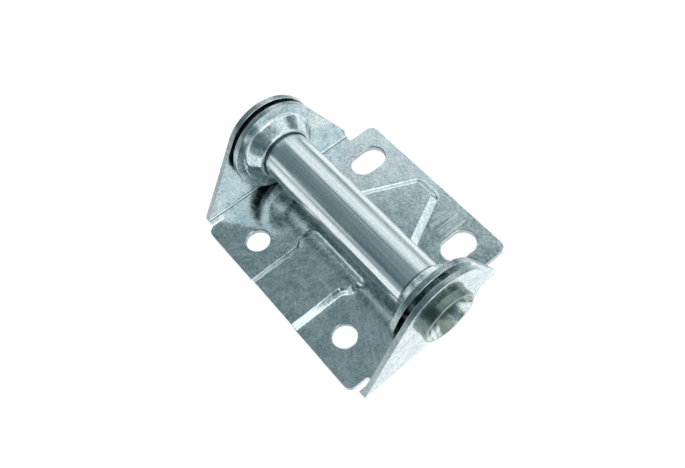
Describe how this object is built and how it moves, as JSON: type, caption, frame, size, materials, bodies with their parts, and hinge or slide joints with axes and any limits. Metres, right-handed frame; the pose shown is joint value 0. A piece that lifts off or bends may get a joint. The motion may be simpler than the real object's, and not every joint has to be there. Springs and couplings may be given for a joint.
{
  "type": "door hinge",
  "caption": "Folded sheet-metal hinge for a sectional door: two eared leaves that turn on a flared roller tube.",
  "frame": {"origin": "on the door face, under the pivot axis, midway along the roller tube", "axes": "+X along the roller tube; +Y across the door joint towards the slotted inner leaf; +Z off the door face"},
  "size_m": [0.0878, 0.067, 0.0325],
  "materials": {
    "zinc_leaf": "bright zinc plating on folded strip",
    "zinc_tube": "bright zinc plating on drawn tube"
  },
  "bodies": {
    "fixed_leaf": {"outer_leaf": "zinc_leaf", "roller_tube": "zinc_tube"},
    "swing_leaf": {"inner_leaf": "zinc_leaf"}
  },
  "joints": [
    {"name": "knuckle", "type": "hinge", "parent": "fixed_leaf", "child": "swing_leaf", "pos_m": [0, 0, 0.0172], "axis": [1, 0, 0], "range_deg": [0, 225]}
  ]
}
